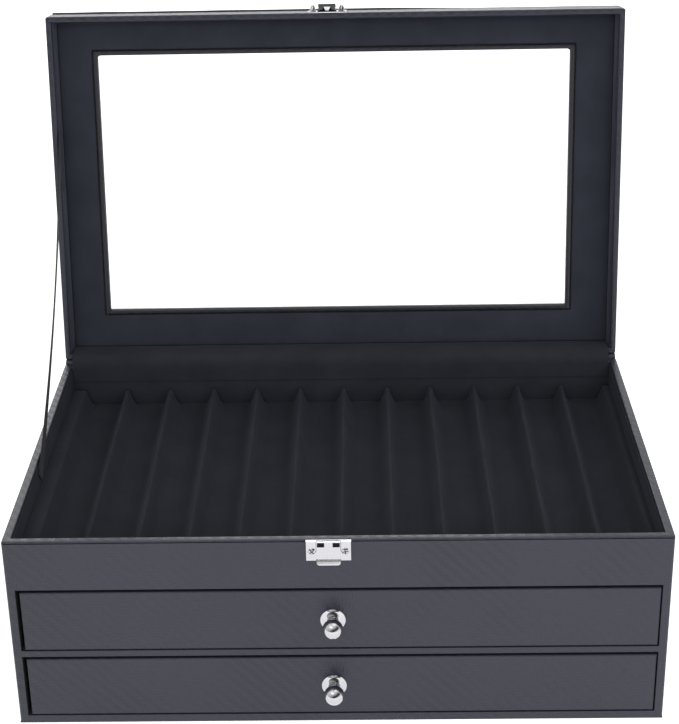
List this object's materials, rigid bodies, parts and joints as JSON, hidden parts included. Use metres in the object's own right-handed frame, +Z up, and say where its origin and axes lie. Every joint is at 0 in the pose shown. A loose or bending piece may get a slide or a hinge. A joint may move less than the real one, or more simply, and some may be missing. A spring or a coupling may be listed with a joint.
{
  "type": "pen display chest",
  "caption": "Leatherette-covered collector chest with a glazed hinged lid over a ribbed velvet tray, ribbed drawers with ball knobs, and a snap latch.",
  "frame": {"origin": "centre of the chest's underside, which stands on the floor", "axes": "+X to the right along the drawers' fronts, +Y to the back where the lid is hinged, +Z up"},
  "size_m": [0.34, 0.2772, 0.3243],
  "materials": {
    "leatherette": "satin, fine diagonal twill embossing",
    "velvet": "short dark pile",
    "ribbon": "woven satin",
    "board": "fibreboard under dark paper, seen only in the gaps",
    "glass": "clear, polished",
    "chrome": "bright polished plating",
    "steel": "plain zinc-plated"
  },
  "bodies": {
    "case": {"base_cover": "leatherette", "case_bottom": "board", "case_side_left": "board", "case_side_right": "board", "case_back": "board", "front_fascia": "board", "drawer_shelf": "board", "tray_floor": "board", "outer_cover": "leatherette", "front_cover": "leatherette", "rim_cover": "leatherette", "tray_lining": "velvet", "tray_pad": "velvet", "tray_ribs": "velvet", "latch_plate": "chrome", "latch_pin": "chrome", "latch_spring": "steel", "latch_screws": "chrome", "hinge_case_leaves": "steel", "hinge_pins": "steel", "hinge_case_screws": "steel", "stay_ribbon": "ribbon", "hinge_lining": "velvet"},
    "lid": {"lid_front_rail": "board", "lid_rear_rail": "board", "lid_side_rails": "board", "lid_top_board": "board", "lid_cover": "leatherette", "lid_rim_cover": "leatherette", "lid_glass": "glass", "lid_lining_panel": "velvet", "lid_wall_lining": "velvet", "keeper": "chrome", "keeper_screws": "chrome", "hinge_lid_leaves": "steel", "hinge_lid_screws": "steel"},
    "upper_drawer": {"upper_drawer_front_board": "board", "upper_drawer_cover": "leatherette", "upper_drawer_bottom": "board", "upper_drawer_sides": "board", "upper_drawer_back": "board", "upper_drawer_lining": "velvet", "upper_drawer_pad": "velvet", "upper_drawer_ribs": "velvet", "upper_drawer_knob": "chrome", "upper_drawer_rosette": "chrome", "upper_drawer_knob_screw": "steel"},
    "lower_drawer": {"lower_drawer_front_board": "board", "lower_drawer_cover": "leatherette", "lower_drawer_bottom": "board", "lower_drawer_sides": "board", "lower_drawer_back": "board", "lower_drawer_lining": "velvet", "lower_drawer_pad": "velvet", "lower_drawer_ribs": "velvet", "lower_drawer_knob": "chrome", "lower_drawer_rosette": "chrome", "lower_drawer_knob_screw": "steel"},
    "latch_flap": {"latch_flap": "chrome"}
  },
  "joints": [
    {"name": "lid_hinge", "type": "hinge", "parent": "case", "child": "lid", "pos_m": [0, 0.107, 0.111], "axis": [1, 0, 0], "range_deg": [0, 98.5], "deforming": ["stay_ribbon", "hinge_lining"]},
    {"name": "upper_drawer_slide", "type": "slide", "parent": "case", "child": "upper_drawer", "axis": [0, -1, 0], "range_m": [0, 0.15]},
    {"name": "lower_drawer_slide", "type": "slide", "parent": "case", "child": "lower_drawer", "axis": [0, -1, 0], "range_m": [0, 0.15]},
    {"name": "latch_flap_pivot", "type": "hinge", "parent": "case", "child": "latch_flap", "pos_m": [-0.0043, -0.10635, 0.1048], "axis": [-1, 0, 0], "range_deg": [0, 10], "stiffness_Nm_per_rad": 0.03, "springref_deg": -5.73, "deforming": ["latch_spring"]}
  ]
}
